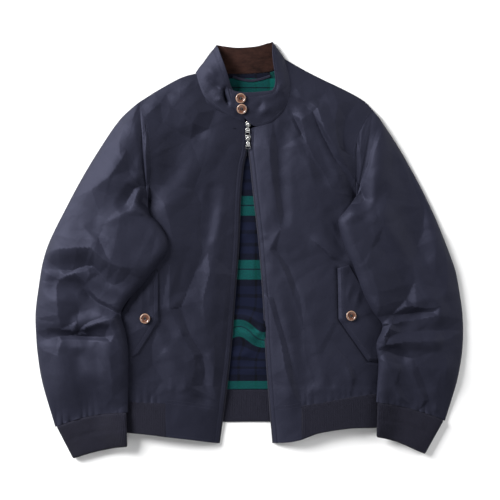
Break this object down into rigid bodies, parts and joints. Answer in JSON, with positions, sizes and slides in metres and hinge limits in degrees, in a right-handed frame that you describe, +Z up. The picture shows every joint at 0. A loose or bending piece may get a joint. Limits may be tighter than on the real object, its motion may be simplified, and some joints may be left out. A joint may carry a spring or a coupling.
{
  "type": "harrington jacket",
  "caption": "Zip-front blouson jacket laid flat on its back, with a buttoned stand collar, slanted flap pockets, ribbed cuffs and hem and a tartan lining.",
  "frame": {"origin": "middle of the jacket's outline, on the floor it lies on", "axes": "+X towards the wearer's left, +Y from hem to collar, +Z up from the floor"},
  "size_m": [0.7631, 0.7433, 0.0393],
  "materials": {
    "shell": "fine navy poplin with a faint sheen",
    "knit": "matte navy rib knit",
    "lining": "brushed cotton in a green, navy and black tartan",
    "facing": "dark brown fine corduroy",
    "button": "amber brown with a paler rim",
    "tape": "woven zip tape",
    "metal": "nickel-plated zip hardware"
  },
  "bodies": {
    "root": {"back": "shell", "front_right": "shell", "front_left": "shell", "top_sleeve_right": "shell", "top_sleeve_left": "shell", "under_sleeve_right": "shell", "under_sleeve_left": "shell", "collar": "shell", "pocket_flap_right": "shell", "pocket_flap_left": "shell", "hanger_loop": "shell", "hem_rib_back": "knit", "hem_rib_right": "knit", "hem_rib_left": "knit", "cuff_right": "knit", "cuff_left": "knit", "back_lining": "lining", "collar_facing": "facing", "collar_button_upper": "button", "collar_button_lower": "button", "flap_button_right": "button", "flap_button_left": "button", "zip_tape_right": "tape", "zip_tape_left": "tape", "zip_slider_upper": "metal", "zip_slider_lower": "metal"},
    "pull_upper": {"zip_pull_upper": "metal"},
    "pull_lower": {"zip_pull_lower": "metal"}
  },
  "joints": [
    {"name": "pull_upper_turn", "type": "hinge", "parent": "root", "child": "pull_upper", "pos_m": [-0.0016, 0.2254, 0.0126], "axis": [-1, 0, 0], "range_deg": [0, 140]},
    {"name": "pull_lower_turn", "type": "hinge", "parent": "root", "child": "pull_lower", "pos_m": [-0.0016, 0.201, 0.0126], "axis": [-1, 0, 0], "range_deg": [0, 140]}
  ]
}
